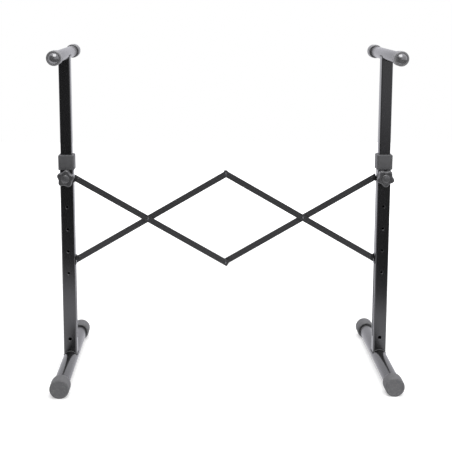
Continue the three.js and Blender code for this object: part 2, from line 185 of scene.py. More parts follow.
def clipped(bm, place, way):
    everything = bm.verts[:] + bm.edges[:] + bm.faces[:]
    return bmesh.ops.bisect_plane(
        bm, geom=everything, plane_co=place, plane_no=way, clear_outer=True
    )["geom_cut"]


# Cuts a flat at one height, and closes it. What lies above goes where way is 1, and below at -1.
def flattened(bm, height, way):
    cutLoop = clipped(bm, (0, 0, height), (0, 0, way))
    rim = [item for item in cutLoop if isinstance(item, bmesh.types.BMEdge)]
    bmesh.ops.edgeloop_fill(bm, edges=rim)
    bmesh.ops.recalc_face_normals(bm, faces=bm.faces)
    return bm


def linked(name, data):
    made = bpy.data.objects.new(name, data)
    bpy.context.scene.collection.objects.link(made)
    return made


def sketch(bm, name="sketch"):
    mesh = bpy.data.meshes.new(name)
    bm.to_mesh(mesh)
    bm.free()
    return linked(name, mesh)


# Cuts the tools from a shape, or joins them to it. The sketches are used up.
def combined(bm, tools, operation="DIFFERENCE"):
    base = sketch(bm)
    others = [sketch(tool) for tool in tools]
    for other in others:
        modifier = base.modifiers.new("tool", "BOOLEAN")
        modifier.operation = operation
        modifier.solver = "EXACT"
        modifier.object = other
    bpy.context.view_layer.update()
    result = bmesh.new()
    result.from_object(base, bpy.context.evaluated_depsgraph_get())
    for used in [base, *others]:
        mesh = used.data
        bpy.data.objects.remove(used)
        bpy.data.meshes.remove(mesh)
    bmesh.ops.remove_doubles(result, verts=result.verts, dist=pointGap["cut"])
    bmesh.ops.dissolve_degenerate(result, edges=result.edges, dist=pointGap["cut"])
    return result


def asObject(name, bm, crease=sharpAngle):
    bmesh.ops.scale(bm, vec=Vector((1, 1, 1)) / metre, verts=bm.verts)
    made = sketch(bm, name)
    made.data.polygons.foreach_set("use_smooth", [True] * len(made.data.polygons))
    made.data.set_sharp_from_angle(angle=math.radians(crease))
    return made


# Rounds every sharp edge a little, so that it catches the light.
def softEdges(piece, width, segments=2, angle=sharpAngle):
    bevel = piece.modifiers.new("edges", "BEVEL")
    bevel.width = width / metre
    bevel.segments = segments
    bevel.limit_method = "ANGLE"
    bevel.angle_limit = math.radians(angle)
    bevel.miter_outer = "MITER_ARC"
    weighted = piece.modifiers.new("shading", "WEIGHTED_NORMAL")
    weighted.keep_sharp = True
    return piece


def dress(piece, finish, slot, body, *replaced):
    piece.data.materials.clear()
    piece.data.materials.append(finishes[finish])
    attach(piece, body)
    if replaced:
        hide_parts(*replaced)


solid = dict(edge=0.35, flatAngle=1)


# A CAD solid whose shape is right, merged and with softened edges.
def refined(node, name, finish, slot, body):
    bm = bmesh.new()
    bm.from_mesh(frame["nodes"][node].data)
    bmesh.ops.scale(bm, vec=(metre,) * 3, verts=bm.verts)
    bmesh.ops.remove_doubles(bm, verts=bm.verts, dist=pointGap["solid"])
    flatAngle = math.radians(solid["flatAngle"])
    bmesh.ops.dissolve_limit(bm, angle_limit=flatAngle, verts=bm.verts, edges=bm.edges)
    dress(softEdges(asObject(name, bm), solid["edge"]), finish, slot, body, node)


# A node's output, which is added and multiplied as a number is.
class Wire:
    def __init__(self, finish, socket):
        self.finish = finish
        self.socket = socket

    def sum(self, operation, first, second):
        return self.finish.node("ShaderNodeMath", {"operation": operation}, {0: first, 1: second})

    def __add__(self, other):
        return self.sum("ADD", self, other)

    def __sub__(self, other):
        return self.sum("SUBTRACT", self, other)

    def __rsub__(self, other):
        return self.sum("SUBTRACT", other, self)

    def __mul__(self, other):
        return self.sum("MULTIPLY", self, other)

    __radd__, __rmul__ = __add__, __mul__


# The edge marks below are partly wear, and in the paint and plastics partly a painted highlight or sheen.
edgeBend = (0.02, 0.3)  # how far a rounded normal leans where wear starts and where it is full


class Finish:
    def __init__(self, owner):
        owner.use_nodes = True
        self.owner = owner
        self.tree = owner.node_tree
        self.tree.nodes.clear()

    # Makes any node: its settings first, then the values or links of its sockets.
    def node(self, kind, settings=None, inputs=None, output=0):
        made = self.tree.nodes.new(kind)
        for key, value in (settings or {}).items():
            setattr(made, key, value)
        for key, value in (inputs or {}).items():
            if isinstance(value, Wire):
                self.tree.links.new(value.socket, made.inputs[key])
            else:
                made.inputs[key].default_value = value
        return Wire(self, made.outputs[output]) if made.outputs else None

    # Noise of a given grain in millimetres, which may be drawn out along an axis.
    def noise(self, grain, detail=2.0, roughness=0.5, stretch=(1, 1, 1), offset=0.0):
        place = self.node("ShaderNodeTexCoord", output="Object")
        scale = [metre / (grain * factor) for factor in stretch]
        inputs = {"Vector": place, "Location": (offset,) * 3, "Scale": scale}
        mapped = self.node("ShaderNodeMapping", inputs=inputs)
        inputs = {"Vector": mapped, "Scale": 1.0, "Detail": detail, "Roughness": roughness}
        return self.node("ShaderNodeTexNoise", inputs=inputs, output="Fac")

    def span(self, value, low, high, first=0.0, last=1.0):
        inputs = {"Value": value, "From Min": low, "From Max": high, "To Min": first, "To Max": last}
        return self.node("ShaderNodeMapRange", {"interpolation_type": "SMOOTHSTEP"}, inputs)

    # Patches of noise. A patch is its grain, and the noise at which it starts and is full.
    def patches(self, patch, detail, roughness=0.5, **settings):
        grain, low, high = patch
        return self.span(self.noise(grain, detail, roughness, **settings), low, high)

    def blend(self, factor, first, second):
        inputs = {"Factor": factor, 6: first, 7: second}
        return self.node("ShaderNodeMix", {"data_type": "RGBA"}, inputs, output=2)

    def measure(self, operation, inputs):
        return self.node("ShaderNodeVectorMath", {"operation": operation}, inputs, "Value")

    # Where the surface bends sharply, from 0 on a flat to 1 on an edge.
    def edges(self, radius):
        rounded = self.node("ShaderNodeBevel", {"samples": 4}, {"Radius": radius / metre})
        normal = self.node("ShaderNodeNewGeometry", output="Normal")
        facing = self.measure("DOT_PRODUCT", {0: rounded, 1: normal})
        return self.span(1 - facing, *edgeBend)

    def bump(self, height, depth):
        return self.node("ShaderNodeBump", inputs={"Height": height, "Distance": depth / metre})

    def ray(self, kind):
        return self.node("ShaderNodeLightPath", output=kind)

    def part(self, vector, letter):
        return self.node("ShaderNodeSeparateXYZ", inputs={0: vector}, output=letter)

    def shade(self, inputs):
        surface = self.node("ShaderNodeBsdfPrincipled", inputs=inputs)
        self.node("ShaderNodeOutputMaterial", inputs={"Surface": surface})
        return self.owner


def grey(value, tint=(1.0, 1.0, 1.04)):
    return (*[value * part for part in tint], 1.0)


def newFinish(name):
    return Finish(bpy.data.materials.new(name))


# Black satin powder coat. The coat has a fine orange peel, and its edges are lighter: partly rubbed wear,
# partly a painted highlight along the edges.
def powderCoat(name, paint):
    finish = newFinish(name)
    haze = finish.noise(paint["haze"], 3.0)
    speckle = finish.noise(paint["speckle"], 2.0, 0.6)
    # This edge mask lightens the coat: partly rubbed wear, partly a painted highlight where the edges
    # catch the light.
    rubbedAndLitEdges = finish.edges(paint["edgeWearAndHighlightWidth"]) * finish.patches(paint["edgeWearAndHighlightPatches"], 3.0, 0.6)
    scratches = finish.patches(paint["scratches"], 4.0, 0.7, stretch=paint["scratchWay"])
    marks = scratches * finish.patches(paint["marks"], 2.0, offset=4.0)
    coat = finish.blend(haze, grey(paint["dark"]), grey(paint["light"]))
    coat = finish.blend(0.35 * marks, coat, grey(paint["scratch"]))
    coat = finish.blend(paint["edgeWearAndHighlight"] * rubbedAndLitEdges, coat, grey(paint["rubbedAndLitEdges"]))
    peel = finish.noise(paint["peel"], 1.5, 0.45)
    wave = finish.noise(paint["wave"], 1.0, stretch=(1, 1, 3))
    return finish.shade({
        "Base Color": coat,
        "Roughness": paint["gloss"] + 0.06 * haze + 0.03 * speckle + 0.12 * marks,
        "IOR": paint["ior"],
        "Specular IOR Level": 1.0,
        "Normal": finish.bump(peel + 0.7 * wave, paint["peelDepth"]),
    })


# Moulded rubber: a matt skin with bloom, dust and scuffs.
def mouldedRubber(name, rubber):
    finish = newFinish(name)
    bloom = finish.noise(rubber["bloom"], 4.0, 0.6)
    dust = finish.patches(rubber["dusting"], 5.0, 0.7)
    scuffs = finish.patches(rubber["scuffs"], 3.0, 0.65, stretch=(1, 4, 1), offset=9.0)
    worn = finish.edges(rubber["wearWidth"]) * finish.span(bloom, *rubber["wearSpan"])
    colour = finish.blend(bloom, grey(rubber["dark"]), grey(rubber["light"]))
    colour = finish.blend(0.45 * dust, colour, grey(rubber["dust"], (1.0, 0.99, 0.96)))
    colour = finish.blend(0.35 * worn + 0.2 * scuffs, colour, grey(rubber["worn"]))
    grain = finish.noise(rubber["grain"], 2.0, 0.7)
    return finish.shade({
        "Base Color": colour,
        "Roughness": rubber["roughness"] + 0.12 * bloom + 0.08 * dust - 0.06 * worn,
        "Specular IOR Level": rubber["specular"],
        "Normal": finish.bump(grain + 0.6 * bloom, rubber["grainDepth"]),
    })


# Hard plastic from a spark-eroded mould, polished where hands turn it: there the edges are smoother, and
# their colour shifts too. On the dark plastics the lighter edge colour is a painted sheen.
def mouldedPlastic(name, plastic):
    finish = newFinish(name)
    cloud = finish.noise(plastic["cloud"], 3.0)
    grain = finish.noise(plastic["grain"], 2.0, 0.75)
    # The edge mask smooths the edges and shifts their colour. On the dark plastics the lighter colour is
    # a painted sheen, and on the pale nylon it is darker wear.
    edgeWearAndSheen = finish.edges(plastic["edgeWearAndSheenWidth"]) * finish.span(cloud, *plastic["edgeWearAndSheenSpan"])
    colour = finish.blend(cloud, grey(plastic["dark"]), grey(plastic["light"]))
    colour = finish.blend(plastic["edgeWearAndSheenAmount"] * edgeWearAndSheen, colour, grey(plastic["edgeWearAndSheen"]))
    return finish.shade({
        "Base Color": colour,
        "Roughness": plastic["roughness"] + 0.1 * cloud - 0.14 * edgeWearAndSheen,
        "Specular IOR Level": plastic["specular"],
        "Coat Weight": plastic["coat"],
        "Coat IOR": 2.5,
        "Coat Roughness": 0.08,
        "Normal": finish.bump(grain, plastic["grainDepth"]),
    })


# Steel with a thin zinc coat: pale, slightly blue, with dull patches.
def zincPlate(name, zinc):
    finish = newFinish(name)
    dull = finish.patches(zinc["dulling"], 4.0, 0.65)
    bright = grey(zinc["bright"], (0.97, 1.0, 1.04))
    return finish.shade({
        "Base Color": finish.blend(dull, bright, grey(zinc["dull"], (1.0, 0.99, 0.95))),
        "Metallic": 1.0,
        "Roughness": zinc["roughness"] + 0.2 * dull,
        "Normal": finish.bump(finish.noise(zinc["grain"], 2.0), zinc["grainDepth"]),
    })


# Rivets painted with the bars. The domes are rubbed back to the steel in places.
def paintedRivet(name, paint):
    finish = newFinish(name)
    chips = finish.patches(paint["chips"], 4.0, 0.7)
    bare = 0.6 * finish.edges(paint["chipWidth"]) * chips
    steel = grey(paint["steel"], (1.0, 0.99, 0.97))
    return finish.shade({
        "Base Color": finish.blend(bare, grey(paint["dark"]), steel),
        "Metallic": 0.8 * bare,
        "Roughness": paint["roughness"] + 0.1 * finish.noise(paint["smear"]),
        "Normal": finish.bump(finish.noise(paint["peel"], 2.0), paint["peelDepth"]),
    })


frameCoat = dict(
    dark=0.006, light=0.009, haze=70, gloss=0.15, ior=1.6, speckle=0.9,
    # The edge values lighten the coat along its edges: partly wear, partly a painted highlight.
    edgeWearAndHighlight=0.5, rubbedAndLitEdges=0.11, edgeWearAndHighlightWidth=0.9, edgeWearAndHighlightPatches=(5, 0.4, 0.62),
    scratch=0.05, scratchWay=(1, 1, 40), scratches=(1.6, 0.66, 0.74), marks=(45, 0.5, 0.66),
    peel=1.6, peelDepth=0.003, wave=22,
)
barCoat = dict(
    frameCoat, dark=0.02, light=0.028, gloss=0.34, ior=1.5, edgeWearAndHighlight=0.8, rubbedAndLitEdges=0.18,
    scratchWay=(30, 1, 6),
)
weldCoat = dict(frameCoat, dark=0.01, light=0.02, gloss=0.42, ior=1.5, edgeWearAndHighlight=0.3, peelDepth=0.02)
footRubber = dict(
    dark=0.08, light=0.12, bloom=14, dust=0.23, dusting=(3.2, 0.48, 0.7), scuffs=(2.0, 0.62, 0.7),
    worn=0.18, wearWidth=1.2, wearSpan=(0.35, 0.65), roughness=0.5, specular=0.5,
    grain=0.55, grainDepth=0.05,
)
supportRubber = dict(
    footRubber, dark=0.1, light=0.14, dust=0.2, worn=0.24, roughness=0.27, specular=0.9,
    grainDepth=0.015,
)
blackNylon = dict(
    dark=0.012, light=0.018, cloud=11, edgeWearAndSheen=0.03, edgeWearAndSheenAmount=0.3, edgeWearAndSheenWidth=0.5,
    edgeWearAndSheenSpan=(0.3, 0.6), roughness=0.4, specular=0.5, coat=0.0, grain=0.6, grainDepth=0.01,
)
paleNylon = dict(
    blackNylon, dark=0.5, light=0.62, edgeWearAndSheen=0.4, edgeWearAndSheenWidth=0.8, roughness=0.38, grain=0.9,
)
domePlastic = dict(
    blackNylon, dark=0.075, light=0.095, edgeWearAndSheen=0.12, edgeWearAndSheenAmount=0.4, edgeWearAndSheenWidth=0.8,
    roughness=0.2, specular=1.0, coat=1.0, grain=1.5, grainDepth=0.004,
)
# The collar's lighter edges are a painted sheen, partly standing for edge wear.
collarPlastic = dict(
    blackNylon, dark=0.062, light=0.09, edgeWearAndSheen=0.22, edgeWearAndSheenAmount=0.8, edgeWearAndSheenWidth=1.6,
    roughness=0.42, grain=0.5, grainDepth=0.02,
)
knobPlastic = dict(
    blackNylon, dark=0.036, light=0.052, edgeWearAndSheen=0.17, edgeWearAndSheenAmount=0.7, edgeWearAndSheenWidth=2.4,
    roughness=0.26, specular=1.0,
)
# The hub is the knob's plastic made lighter: the lighter tone is a painted highlight on the hub.
hubPaintedHighlightPlastic = dict(knobPlastic, dark=0.055, light=0.075, roughness=0.2)
zincCoat = dict(
    bright=0.55, dull=0.36, dulling=(4, 0.45, 0.7), roughness=0.26, grain=0.6, grainDepth=0.01,
)
rivetCoat = dict(
    dark=0.026, steel=0.3, chips=(1.7, 0.54, 0.62), chipWidth=0.8, roughness=0.32, smear=3,
    peel=1.3, peelDepth=0.02,
)

looks = (
    (powderCoat, dict(framePaint=frameCoat, barPaint=barCoat, weldPaint=weldCoat)),
    (mouldedRubber, dict(footRubber=footRubber, supportRubber=supportRubber)),
    (mouldedPlastic, dict(
        domePlastic=domePlastic, collarPlastic=collarPlastic, knobPlastic=knobPlastic,
        hubPaintedHighlightPlastic=hubPaintedHighlightPlastic, blackNylon=blackNylon, sliderNylon=paleNylon,
    )),
    (zincPlate, dict(zincPlate=zincCoat)),
    (paintedRivet, dict(rivetPaint=rivetCoat)),
)
finishes = {name: build(name, look) for build, group in looks for name, look in group.items()}
print("materials ready")


weld = dict(
    bead=1.4, ripple=0.16, rippleLength=2.4, spacing=0.5, supportShare=0.8, supportGap=0.2,
    bossBead=1.1, bossInset=0.5, bossSink=0.2, bossPoints=110,
    bracketBead=1.2, bracketLift=0.3, bracketInset=2.5, bracketSteps=22,
)


# A welded bead along a path, with the ripples that the torch leaves.
def weldBead(name, path, radius, body, closed=True):
    curve = bpy.data.curves.new(name, "CURVE")
    curve.dimensions = "3D"
    curve.bevel_depth = radius / metre
    curve.bevel_resolution = 3
    curve.use_fill_caps = True
    spline = curve.splines.new("POLY")
    spline.points.add(len(path) - 1)
    spline.use_cyclic_u = closed
    run = 0
    for index, point in enumerate(path):
        run += (point - path[index - 1]).length if index else 0
        ripple = abs(math.sin(math.pi * run / weld["rippleLength"]))
        spline.points[index].co = (*(point / metre), 1)
        spline.points[index].radius = 1 - weld["ripple"] + 2 * weld["ripple"] * ripple
    drawn = linked(name, curve)
    bpy.context.view_layer.update()
    depsgraph = bpy.context.evaluated_depsgraph_get()
    mesh = bpy.data.meshes.new_from_object(drawn.evaluated_get(depsgraph))
    bpy.data.objects.remove(drawn)
    mesh.polygons.foreach_set("use_smooth", [True] * len(mesh.polygons))
    dress(linked(name, mesh), "weldPaint", "frame_paint", body)


# Points round a square tube, laid on a round tube that runs along Y.
def saddlePath(x, width, corner, axisHeight, radius, above):
    straight = width / 2 - corner
    path = []
    for quarter in range(4):
        start = quarter * math.pi / 2
        centre = Matrix.Rotation(start, 2) @ Vector((straight, straight))
        steps = round(corner * math.pi / 2 / weld["spacing"])
        for step in range(steps):
            turn = start + step / steps * math.pi / 2
            path.append(centre + corner * Vector((math.cos(turn), math.sin(turn))))
        nextTurn = Matrix.Rotation(start + math.pi / 2, 2)
        here = nextTurn @ Vector((straight + corner, -straight))
        far = nextTurn @ Vector((straight + corner, straight))
        count = round(2 * straight / weld["spacing"])
        path += [here.lerp(far, step / count) for step in range(count)]
    side = 1 if above else -1
    return [
        Vector((x + point.x, point.y, axisHeight + side * math.sqrt(max(radius**2 - point.x**2, 0))))
        for point in path
    ]


footTube = dict(wall=2.0, edge=0.5)
footCap = dict(
    bore=19.3, boreEase=1.5, mouthEase=0.6, lip=21.4, lipEdge=0.7, shoulder=11, taper=0.5,
    edge=3.2, length=46, endWall=10, dish=19, dishDepth=0.7, dishEase=0.5, dishSlope=0.8,
    gate=2.2, gateDepth=0.5, gateEase=0.3, gateSlope=0.4, gateFloorEase=0.2,
)


# A tube or a ring about Y, turned from the outline of its wall.
def turnedWall(node, bore, edge, easeSteps=5, steps=96):
    low, high = boxOf(node)
    radius, middle = radiusOf(node), (low.y + high.y) / 2
    outline = eased([
        (bore, middle, 0), (bore, low.y, edge), (radius, low.y, edge), (radius, high.y, edge),
        (bore, high.y, edge), (bore, middle + outlineGap, 0),
    ], easeSteps)
    return moved(spun(outline, closed=True, steps=steps), axisOf(node))


def roundTubePiece(node, name, tube, body):
    bm = turnedWall(node, radiusOf(node) - tube["wall"], tube["edge"])
    dress(asObject(name, bm), "framePaint", "frame_paint", body, node)


def footCapPiece(side, end, facing):
    node = f"{side}_foot_cap_{end}"
    low, high = boxOf(node)
    cap, radius = footCap, radiusOf(node)
    bore, lip, length, dish, gate = (cap[key] for key in ("bore", "lip", "length", "dish", "gate"))
    dishFloor = length - cap["dishDepth"]
    gateFloor = dishFloor - cap["gateDepth"]
    shoulder = [
        Vector((lip + (radius - lip) * math.sin(turn), cap["shoulder"] * (1 - math.cos(turn))))
        for turn in [math.radians(degrees) for degrees in range(12, 91, 6)]
    ]
    inside = eased([
        (0, length - cap["endWall"], 0), (bore, length - cap["endWall"], cap["boreEase"]),
        (bore, 0, cap["mouthEase"]), (lip, 0, cap["lipEdge"]), (*shoulder[0], 0),
    ])
    face = eased([
        (*shoulder[-1], 0), (radius - cap["taper"], length, cap["edge"]),
        (dish, length, cap["dishEase"]), (dish - cap["dishSlope"], dishFloor, cap["dishEase"]),
        (gate, dishFloor, cap["gateEase"]),
        (gate - cap["gateSlope"], gateFloor, cap["gateFloorEase"]), (0, gateFloor, 0),
    ])
    bm = spun(inside[:-1] + shoulder + face[1:])
    openEnd = high.y - length if facing > 0 else low.y + length
    moved(bm, ((low.x + high.x) / 2, openEnd, high.z - radius), capTurn(facing))
    piece = asObject(node + "_boot", flattened(bm, low.z, -1))
    dress(piece, "footRubber", "foot_rubber", f"{side}_frame", node)


column = dict(
    wall=1.5, corner=4, holeRadius=3.5, holes=(440, 380, 320, 260), lowHole=77, lowHoleRadius=4.5,
    rim=0.8, lockHeight=520, lockHole=4.3, roundGap=0.3, slotWidth=9, slotAbove=8.5,
    slotBottom=76.3, edge=0.35,
)
post = dict(wall=1.5, corner=3, roundGap=0.3, edge=0.35)


# A square tube that stands on the round tube below it, or else carries the one above it.
def squareTube(node, tube, roundNode, stands, others=()):
    low, high = boxOf(node)
    x, width = (low.x + high.x) / 2, high.x - low.x
    wall, corner = tube["wall"], tube["corner"]
    axis, radius = middleOf(roundNode).z, radiusOf(roundNode) + tube["roundGap"]
    bottom, top = (axis, high.z) if stands else (low.z, axis)
    tools = [
        squareBar(width - 2 * wall, corner - wall, low.z - overcut, top + overcut, x),
        rod(radius, (x, -width, axis), (x, width, axis), 96),
        *others,
    ]
    return combined(squareBar(width, corner, bottom, top, x), tools)


def columnPiece(side, inward):
    node = f"{side}_column_tube"
    low, high = boxOf(node)
    x, width = (low.x + high.x) / 2, high.x - low.x
    rim, slotHalf = column["rim"], column["slotWidth"] / 2
    slotTop = pivots[f"{side}_slider_turn"].z + column["slotAbove"]
    near, far = sorted((x, x + inward * width))
    slot = block((near, -slotHalf, column["slotBottom"]), (far, slotHalf, slotTop))
    drills = [(column["holeRadius"], height) for height in column["holes"]]
    drills += [(column["lowHoleRadius"], column["lowHole"])]
    drills += [(column["lockHole"], column["lockHeight"])]
    tools = [slot]
    for radius, height in drills:
        bit = [(0, -rim), (radius + 2 * rim, -rim), (radius, rim), (radius, width / 2), (0, width / 2)]
        tools.append(moved(spun(bit, steps=48), (x, low.y, height)))
    bm = squareTube(node, column, f"{side}_foot_tube", True, tools)
    piece = softEdges(asObject(f"{side}_column", bm), column["edge"])
    dress(piece, "framePaint", "frame_paint", f"{side}_frame", node)


def postPiece(side):
    node = f"{side}_post_tube"
    bm = squareTube(node, post, f"{side}_support_tube", False)
    piece = softEdges(asObject(f"{side}_post", bm), post["edge"])
    dress(piece, "framePaint", "frame_paint", f"{side}_post", node)


collar = dict(
    corner=5, topEdge=3.2, bottomEdge=1.2, mouth=30.6, mouthCorner=3.3, inside=35.6,
    insideCorner=4.3, lip=5.7, seamWidth=0.5, seamDepth=0.3, edge=0.25, creaseAngle=40,
)


def collarPiece(side):
    node = f"{side}_column_collar"
    low, high = boxOf(node)
    x, width = (low.x + high.x) / 2, high.x - low.x
    half = width / 2
    body = squareBar(width, collar["corner"], low.z, high.z, x)
    for height, radius in ((high.z, collar["topEdge"]), (low.z, collar["bottomEdge"])):
        rim = [
            edge for edge in body.edges
            if all(abs(vert.co.z - height) < pointGap["solid"] for vert in edge.verts)
        ]
        bevelled(body, rim, radius, 3)
    seam, depth = collar["seamWidth"] / 2, collar["seamDepth"]
    below, above = low.z - overcut, high.z + overcut
    tools = [
        squareBar(collar["inside"], collar["insideCorner"], below, high.z - collar["lip"], x),
        squareBar(collar["mouth"], collar["mouthCorner"], low.z, above, x),
        block((x - half - overcut, -seam, below), (x - half + depth, seam, above)),
        block((x + half - depth, -seam, below), (x + half + overcut, seam, above)),
    ]
    piece = asObject(f"{side}_collar", combined(body, tools))
    softEdges(piece, collar["edge"], 2, collar["creaseAngle"])
    dress(piece, "collarPlastic", "collar_plastic", f"{side}_frame", node)


supportTube = dict(wall=1.5, edge=0.4)
supportCap = dict(
    bore=15.3, boreEase=1.2, mouthEase=0.25, length=36, endWall=9, mouthEdge=2.8, grooveAt=16,
    grooveWidth=2.5, groove=1.0, grooveSlope=0.5, grooveEase=0.35, edge=3.0, face=15.2, ring=13.4,
    ringDepth=1.3, ringEase=0.4,
)
supportDome = dict(radius=12.9, rise=4.0, under=2.0)


def supportCapPiece(side, end, facing):
    node = f"{side}_support_cap_{end}"
    low, high = boxOf(node)
    cap, dome, radius = supportCap, supportDome, radiusOf(node)
    bore, length, ease = cap["bore"], cap["length"], cap["grooveEase"]
    bottom, slope = radius - cap["groove"], cap["grooveSlope"]
    grooveStart, grooveEnd = cap["grooveAt"], cap["grooveAt"] + cap["grooveWidth"]
    floor = length - cap["ringDepth"]
    outline = eased([
        (0, length - cap["endWall"], 0), (bore, length - cap["endWall"], cap["boreEase"]),
        (bore, 0, cap["mouthEase"]), (radius, 0, cap["mouthEdge"]), (radius, grooveStart, ease),
        (bottom, grooveStart + slope, ease), (bottom, grooveEnd - slope, ease),
        (radius, grooveEnd, ease),
        (radius, length, cap["edge"]), (cap["face"], length, cap["ringEase"]),
        (cap["ring"], floor, cap["ringEase"]), (0, floor, 0),
    ])
    cover = domeArc(dome["radius"], dome["rise"], length + dome["rise"], 1)
    under = floor - dome["under"]
    domeOutline = [Vector((0, under)), Vector((dome["radius"], under))] + cover
    place = ((low.x + high.x) / 2, low.y if facing > 0 else high.y, low.z + radius)
    sleeve = flattened(moved(spun(outline), place, capTurn(facing)), high.z, 1)
    piece = asObject(node + "_sleeve", sleeve)
    dress(piece, "supportRubber", "support_rubber", f"{side}_post", node)
    plug = moved(spun(domeOutline), place, capTurn(facing))
    dress(asObject(node + "_dome", plug), "domePlastic", "support_rubber", f"{side}_post")


boss = dict(radius=9, chamfer=0.9, clearance=0.1, bore=4.3, edge=0.3, creaseAngle=25)
stud = dict(
    radius=4.0, core=3.4, pitch=1.25, rootSink=0.2, tip=3.0, tipLength=3.0, neck=1,
    headEase=0.4, neckEase=0.2, tipEase=0.5, turnSteps=24, creaseAngle=30,
)
knob = dict(
    lobes=5, tip=23.5, valley=18.5, segments=160, edge=4.4, edgeSteps=7, faceInset=2.2,
    recess=7.0, rim=3.2, rimEase=0.8, backEdge=((0.9, 0), (0.25, 0.3), (0, 1.0)),
    boreWall=7.0, boreWallEase=0.6, bore=4.3, boreDepth=13.8,
    hubSeat=11.5, seatSteps=((1.5, 0.1), (0, 0.6), (-0.6, 0.9)),
    ribHalf=0.8, ribInset=4, ribDrop=1.5, creaseAngle=40,
)
knobTurn = {"left": math.radians(-7.6), "right": math.radians(36)}  # as they stand in the photograph
hub = dict(radius=11, side=0.9, sideEase=0.5, backEase=0.2)


def bossPiece(side):
    node = f"{side}_lock_boss"
    low, high = boxOf(node)
    centre = middleOf(node)
    x, height = centre.x, centre.z
    radius, slope = boss["radius"], boss["chamfer"]
    body = rod(radius, (x, high.y, height), (x, low.y, height), 6)
    corner = body.verts[:][0].co - centre
    turn = math.atan2(corner.z, corner.x) % (math.pi / 3)  # until two corners lie along X
    bmesh.ops.rotate(body, cent=centre, matrix=Matrix.Rotation(turn, 3, "Y"), verts=body.verts)
    outer = radius + boss["clearance"]
    cone = moved(spun(eased([
        (0, low.y, 0), (radius - slope, low.y, 0), (outer, low.y + slope, 0),
        (outer, high.y, 0), (0, high.y, 0),
    ])), axisOf(node))
    nut = combined(body, [cone], "INTERSECT")
    drill = rod(boss["bore"], (x, low.y - overcut, height), (x, high.y + overcut, height))
    piece = asObject(f"{side}_boss", combined(nut, [drill]))
    softEdges(piece, boss["edge"], 2, boss["creaseAngle"])
    dress(piece, "framePaint", "frame_paint", f"{side}_frame", node)


def studPiece(side):
    node = f"{side}_lock_stud"
    low, high = boxOf(node)
    pitch, turnSteps = stud["pitch"], stud["turnSteps"]
    tipStart = high.y - stud["tipLength"]
    core = spun(eased([
        (0, low.y, 0), (stud["core"], low.y, stud["headEase"]),
        (stud["core"], tipStart - stud["neck"], 0), (stud["tip"], tipStart, stud["neckEase"]),
        (stud["tip"], high.y, stud["tipEase"]), (0, high.y, 0),
    ]), steps=48)
    turns = math.floor((tipStart - low.y - 2 * pitch) / pitch)
    thread = bmesh.new()
    root, first = stud["core"] - stud["rootSink"], low.y + pitch / 2
    profile = ((root, 0), (stud["radius"], pitch * 0.4), (root, pitch * 0.8))
    corners = [thread.verts.new((radius, first + along, 0)) for radius, along in profile]
    flank = thread.faces.new(corners)
    bmesh.ops.spin(
        thread, geom=[flank, *flank.edges[:], *flank.verts[:]], cent=(0, 0, 0), axis=layerAxis,
        dvec=(0, pitch / turnSteps, 0), angle=2 * math.pi * turns, steps=turns * turnSteps,
    )
    bmesh.ops.recalc_face_normals(thread, faces=thread.faces)
    helix = bpy.data.meshes.new("thread")
    thread.to_mesh(helix)
    thread.free()
    core.from_mesh(helix)
    bpy.data.meshes.remove(helix)
    piece = asObject(f"{side}_stud", moved(core, axisOf(node)), stud["creaseAngle"])
    dress(piece, "zincPlate", "plated_steel", f"{side}_stud", node)


